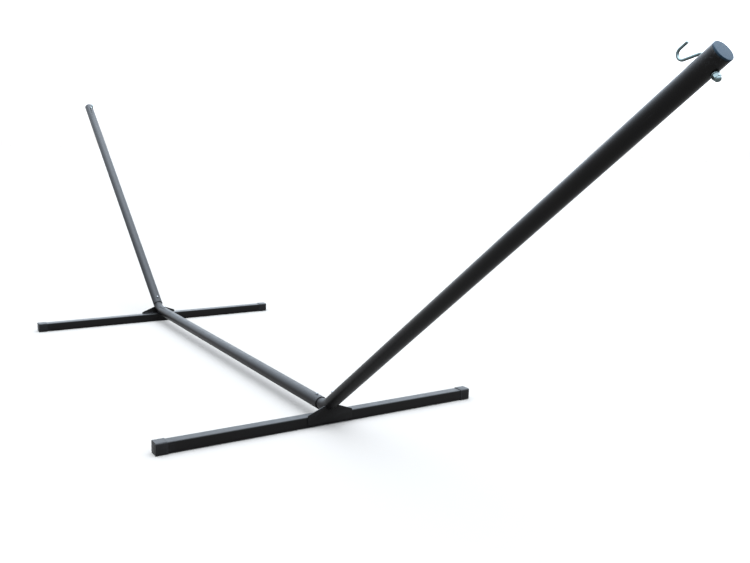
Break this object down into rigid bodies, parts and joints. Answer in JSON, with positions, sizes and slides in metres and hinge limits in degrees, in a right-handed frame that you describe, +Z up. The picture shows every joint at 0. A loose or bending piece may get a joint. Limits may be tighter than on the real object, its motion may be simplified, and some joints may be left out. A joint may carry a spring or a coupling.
{
  "type": "hammock stand",
  "caption": "Steel hammock stand with two cross feet, a low beam, two raised arms held by snap buttons, and a hook bolt near the top of each arm.",
  "frame": {"origin": "on the ground, at the middle of the stand between the two feet", "axes": "+X along the beam towards the right arm, +Y along the feet, +Z up"},
  "size_m": [4.601, 1.24, 1.1736],
  "materials": {
    "powder_coat": "semi-gloss black powder coat",
    "cap_plastic": "black moulded plastic",
    "plug_plastic": "satin moulded plastic",
    "zinc": "bright zinc plate",
    "button_steel": "bright plated steel",
    "spring_steel": "oiled spring steel"
  },
  "bodies": {
    "frame": {"beam_tube": "powder_coat", "foot_tube_right": "powder_coat", "foot_cap_right_front": "cap_plastic", "foot_cap_right_back": "cap_plastic", "gusset_plate_right": "powder_coat", "elbow_tube_right": "powder_coat", "arm_tube_right": "powder_coat", "arm_plug_right": "plug_plastic", "hook_bolt_right": "zinc", "hook_washer_right": "zinc", "hook_nut_right": "zinc", "button_spring_beam_right": "spring_steel", "button_spring_arm_right": "spring_steel", "foot_tube_left": "powder_coat", "foot_cap_left_front": "cap_plastic", "foot_cap_left_back": "cap_plastic", "gusset_plate_left": "powder_coat", "elbow_tube_left": "powder_coat", "arm_tube_left": "powder_coat", "arm_plug_left": "plug_plastic", "hook_bolt_left": "zinc", "hook_washer_left": "zinc", "hook_nut_left": "zinc", "button_spring_beam_left": "spring_steel", "button_spring_arm_left": "spring_steel"},
    "beam_button_right": {"snap_button_beam_right": "button_steel"},
    "arm_button_right": {"snap_button_arm_right": "button_steel"},
    "beam_button_left": {"snap_button_beam_left": "button_steel"},
    "arm_button_left": {"snap_button_arm_left": "button_steel"}
  },
  "joints": [
    {"name": "beam_button_right_press", "type": "slide", "parent": "frame", "child": "beam_button_right", "axis": [0, 0, -1], "range_m": [0, 0.0083], "stiffness_N_per_m": 1500, "springref_m": -0.004, "deforming": ["button_spring_beam_right"]},
    {"name": "arm_button_right_press", "type": "slide", "parent": "frame", "child": "arm_button_right", "axis": [0.617, 0, -0.7869], "range_m": [0, 0.0083], "stiffness_N_per_m": 1500, "springref_m": -0.004, "deforming": ["button_spring_arm_right"]},
    {"name": "beam_button_left_press", "type": "slide", "parent": "frame", "child": "beam_button_left", "axis": [0, 0, -1], "range_m": [0, 0.0083], "stiffness_N_per_m": 1500, "springref_m": -0.004, "deforming": ["button_spring_beam_left"]},
    {"name": "arm_button_left_press", "type": "slide", "parent": "frame", "child": "arm_button_left", "axis": [-0.617, 0, -0.7869], "range_m": [0, 0.0083], "stiffness_N_per_m": 1500, "springref_m": -0.004, "deforming": ["button_spring_arm_left"]}
  ]
}
